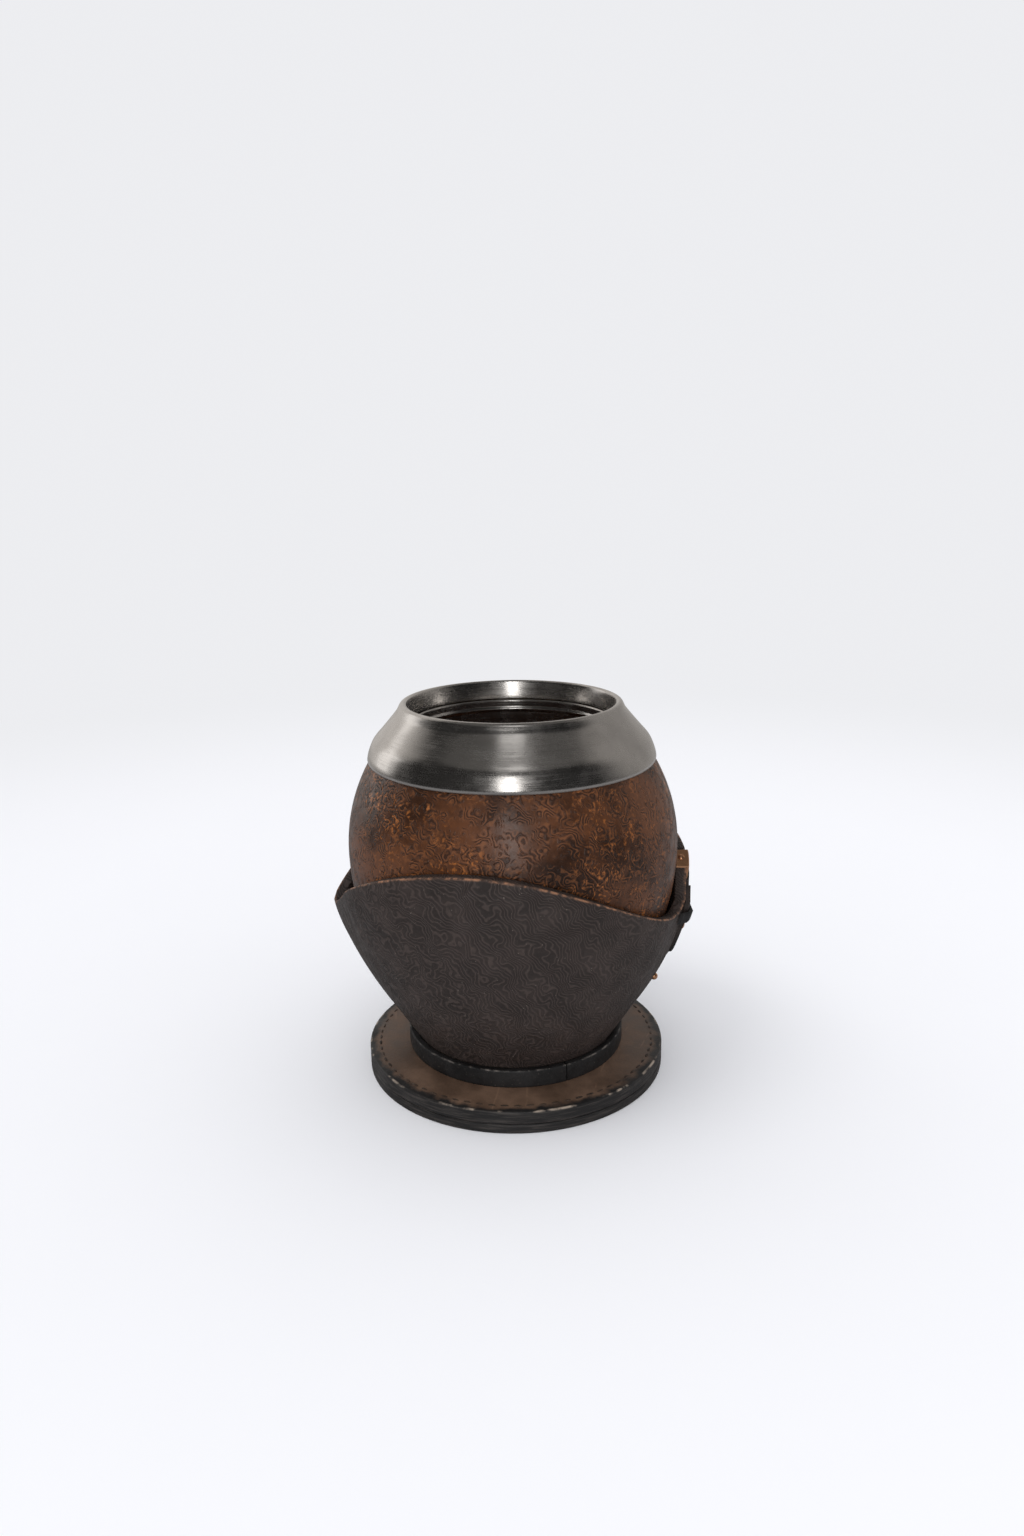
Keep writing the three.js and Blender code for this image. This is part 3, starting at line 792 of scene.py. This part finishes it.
class MATECUP_OT_fasteners(bpy.types.Operator):
    """Builds the copper clip, its pin, the rivet and the tack"""

    bl_idname = "mate_cup.fasteners"
    bl_label = "Copper fasteners"

    def execute(self, context):
        copper = metal("copper", context.scene.mate_cup_colors.copper, 0.3, 0.5)
        rivets = (
            ("rivet_on_tongue", on_wall(92.8, 45.3, TONGUE_THICK + 0.25), 1.4, 0.7, 0.6, 3.2, "tongue_rivet"),
            ("tack_on_seam", on_wall(88.4, 29.6, 0.06), 1.1, 1.1, 0.45, 1.8, "seam_tack"),
            ("pin_on_clip", clip_pin_place(), 0.95, 0.5, 0.4, 2.4, "clip_pin"),
        )
        for name, place, head, dome, shank, length, node in rivets:
            put(rivet(name, place, head, dome, shank, length), "holder", copper, "copper", node)
        put(edge_clip("clip"), "holder", copper, "copper", "edge_clip")
        return {"FINISHED"}


class MATECUP_OT_gourd(bpy.types.Operator):
    """Builds the hollow gourd"""

    bl_idname = "mate_cup.gourd"
    bl_label = "Gourd"

    def execute(self, context):
        colors, sizes = context.scene.mate_cup_colors, context.scene.mate_cup_sizes
        rising = [BAND_TOP + (GOURD_RIM - BAND_TOP) * k / 70 for k in range(71)]
        falling = [CAVITY_TOP - (CAVITY_TOP - CAVITY_FLOOR) * k / 50 for k in range(50)]
        outer = [(gourd_outer(z), z) for z in rising]
        inner = [(gourd_inner(z), z) for z in falling]
        mouth = [(MOUTH_RADIUS, GOURD_RIM), (MOUTH_RADIUS, MOUTH_FOOT)]
        profile = [(0, BAND_TOP), *outer, *mouth, *inner, (0, 22)]
        made = turned("gourd", profile, sizes.turned_sides, 0.4)
        put(made, "mate", gourd_skin(colors), "gourd_skin", "gourd_shell")
        return {"FINISHED"}


class MATECUP_OT_collar(bpy.types.Operator):
    """Builds the spun steel collar and the sleeve in the mouth, and paints the cement"""

    bl_idname = "mate_cup.collar"
    bl_label = "Collar and sleeve"

    def execute(self, context):
        colors, sizes = context.scene.mate_cup_colors, context.scene.mate_cup_sizes
        steel = metal("steel", colors.steel, 0.2, 0.32, 0.12)
        outside = [
            (41.0, 94.6), (41.25, 95.2), (41.2, 96.0), (40.75, 97.6), (39.5, 100.4), (37.1, 103.2),
            (34.7, 106.0), (33.3, 107.7), (32.5, 108.8), (31.8, 110.2), (31.3, 110.8), (30.6, 111.05),
            (29.95, 110.75), (29.7, 110.2), (28.9, 105.6),
        ]
        inside = [
            (29.7, 105.6), (30.4, 109.7), (30.75, 110.0), (31.2, 109.3), (31.8, 108.2), (32.7, 107.0),
            (34.1, 105.3), (36.5, 102.6), (38.8, 99.9), (39.9, 97.4), (40.4, 96.0), (40.55, 95.2),
        ]
        made = turned("steel_collar", flowing(outside) + flowing(inside), sizes.turned_sides, 0.15)
        put(made, "mate", steel, "steel", "collar")
        sleeve = [
            (28.9, 97.2), (28.9, 104.7), (30.2, 104.7), (30.2, 105.3), (28.5, 105.3), (28.2, 105.0),
            (28.3, 103.2), (27.95, 102.6), (27.95, 102.2), (28.3, 101.6), (28.3, 97.2),
        ]
        put(turned("sleeve", sleeve, sizes.turned_sides, 0.2), "mate", steel, "steel", "mouth_sleeve")
        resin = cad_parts["collar_resin"]
        resin.data.materials.clear()
        resin.data.materials.append(plain_leather("resin", (0.3, 0.22, 0.14)))
        return {"FINISHED"}


def flowing(points, parts=4):
    """A smooth line through the points, which it meets exactly."""
    knots = [Vector(p) for p in points]
    ends = [knots[0] * 2 - knots[1], *knots, knots[-1] * 2 - knots[-2]]
    made = []
    for a, b, c, d in zip(ends, ends[1:], ends[2:], ends[3:]):
        for k in range(parts):
            t = k / parts
            point = (b * 2 + (c - a) * t + (a * 2 - b * 5 + c * 4 - d) * t * t
                     + (b * 3 - a - c * 3 + d) * t ** 3) / 2
            made.append(tuple(point))
    made.append(tuple(knots[-1]))
    return made


class MATECUP_OT_stage(bpy.types.Operator):
    """Builds the backdrop, the lights and the camera"""

    bl_idname = "mate_cup.stage"
    bl_label = "Stage"

    def execute(self, context):
        scene = context.scene
        scene.view_settings.view_transform = "Standard"
        floor = self.backdrop()
        world = bpy.data.worlds.new("studio")
        world.use_nodes = True
        scene.world = world
        tree = world.node_tree
        path = tree.nodes.new("ShaderNodeLightPath")
        mix = tree.nodes.new("ShaderNodeMix")
        mix.data_type = "RGBA"
        mix.inputs[6].default_value = (0.84, 0.85, 0.87, 1)
        mix.inputs[7].default_value = (0.1, 0.097, 0.093, 1)
        tree.links.new(path.outputs["Is Glossy Ray"], mix.inputs[0])
        tree.links.new(mix.outputs[2], tree.nodes["Background"].inputs["Color"])
        sun = bpy.data.lights.new("key", "SUN")
        sun.energy = 0.95
        sun.angle = math.radians(38)
        self.light(sun, (-0.55, -0.4, 0.9)).visible_glossy = False
        for name, place, width, tall, power in (
            ("front_strip", (0.2, -1.15, 0.40), 0.24, 0.75, 2.8),
            ("front_high", (0.12, -0.5, 0.95), 0.3, 0.3, 0.24),
            ("left_panel", (-0.9, 0.25, 0.3), 0.4, 0.5, 0.4),
        ):
            data = bpy.data.lights.new(name, "AREA")
            data.shape = "RECTANGLE"
            data.size, data.size_y = width, tall
            data.energy = power
            self.light(data, place)
        data = bpy.data.cameras.new("camera")
        data.lens = CAMERA_LENS
        data.sensor_width = CAMERA_SENSOR
        data.clip_start = 0.01
        camera = bpy.data.objects.new("camera", data)
        turn = math.radians(CAMERA_BEARING)
        pitch = math.radians(90 - CAMERA_FALL)
        roll = math.radians(CAMERA_ROLL)
        place = (CAMERA_DISTANCE * math.sin(turn), -CAMERA_DISTANCE * math.cos(turn), CAMERA_HEIGHT)
        camera.matrix_world = (
            Matrix.Translation(place)
            @ Matrix.Rotation(turn, 4, "Z") @ Matrix.Rotation(pitch, 4, "X") @ Matrix.Rotation(roll, 4, "Z")
        )
        scene.collection.objects.link(camera)
        scene.camera = camera
        return {"FINISHED"}

    def light(self, data, place):
        """A light at the place, turned to the middle of the cup."""
        lamp = bpy.data.objects.new(data.name, data)
        lamp.location = place
        lamp.rotation_euler = (Vector((0, 0, 0.06)) - Vector(place)).to_track_quat("-Z", "Y").to_euler()
        bpy.context.scene.collection.objects.link(lamp)
        return lamp

    def backdrop(self):
        """A floor that turns up into a wall behind the object and on every side."""
        rings, sides, reach, bend = 24, 64, 1.6, 0.9
        profile = [(0.02, 0.0), (0.3, 0.0), (0.8, 0.0), (reach, 0.0)]
        profile += [(reach + bend * math.sin(t), bend * (1 - math.cos(t)))
                    for t in [math.pi / 2 * k / rings for k in range(1, rings + 1)]]
        profile.append((reach + bend, 3.2))
        points = [(0, 0, 0)]
        for r, z in profile:
            points += [(r * math.cos(2 * math.pi * i / sides), r * math.sin(2 * math.pi * i / sides), z)
                       for i in range(sides)]
        faces = [(0, 1 + i, 1 + (i + 1) % sides) for i in range(sides)]
        for k in range(len(profile) - 1):
            for i in range(sides):
                j = (i + 1) % sides
                a, b = 1 + k * sides, 1 + (k + 1) * sides
                faces.append((a + i, b + i, b + j, a + j))
        mesh = bpy.data.meshes.new("backdrop")
        mesh.from_pydata(points, [], faces)
        mesh.shade_smooth()
        made = bpy.data.objects.new("backdrop", mesh)
        bpy.context.scene.collection.objects.link(made)
        mesh.materials.append(backdrop_paper())
        return made


BUILDERS = (
    MATECUP_OT_base,
    MATECUP_OT_foot,
    MATECUP_OT_wall,
    MATECUP_OT_seam,
    MATECUP_OT_fasteners,
    MATECUP_OT_gourd,
    MATECUP_OT_collar,
    MATECUP_OT_stage,
)


class MATECUP_PT_panel(bpy.types.Panel):
    """Lists the steps that build the cup, with its sizes and colours"""

    bl_idname = "MATECUP_PT_panel"
    bl_label = "Mate cup"
    bl_space_type = "VIEW_3D"
    bl_region_type = "UI"
    bl_category = "Mate cup"

    def draw(self, context):
        for group in (context.scene.mate_cup_sizes, context.scene.mate_cup_colors):
            for name in group.__annotations__:
                self.layout.prop(group, name)
        for builder in BUILDERS:
            self.layout.operator(builder.bl_idname)


CLASSES = (MateCupColors, MateCupSizes, *BUILDERS, MATECUP_PT_panel)


def register():
    for made in CLASSES:
        bpy.utils.register_class(made)
    bpy.types.Scene.mate_cup_colors = bpy.props.PointerProperty(type=MateCupColors)
    bpy.types.Scene.mate_cup_sizes = bpy.props.PointerProperty(type=MateCupSizes)


def unregister():
    del bpy.types.Scene.mate_cup_sizes
    del bpy.types.Scene.mate_cup_colors
    for made in reversed(CLASSES):
        bpy.utils.unregister_class(made)


def main():
    register()
    bpy.ops.mate_cup.base()
    bpy.ops.mate_cup.foot()
    bpy.ops.mate_cup.wall()
    bpy.ops.mate_cup.seam()
    bpy.ops.mate_cup.fasteners()
    bpy.ops.mate_cup.gourd()
    bpy.ops.mate_cup.collar()
    bpy.ops.mate_cup.stage()


if __name__ == "__main__":
    main()
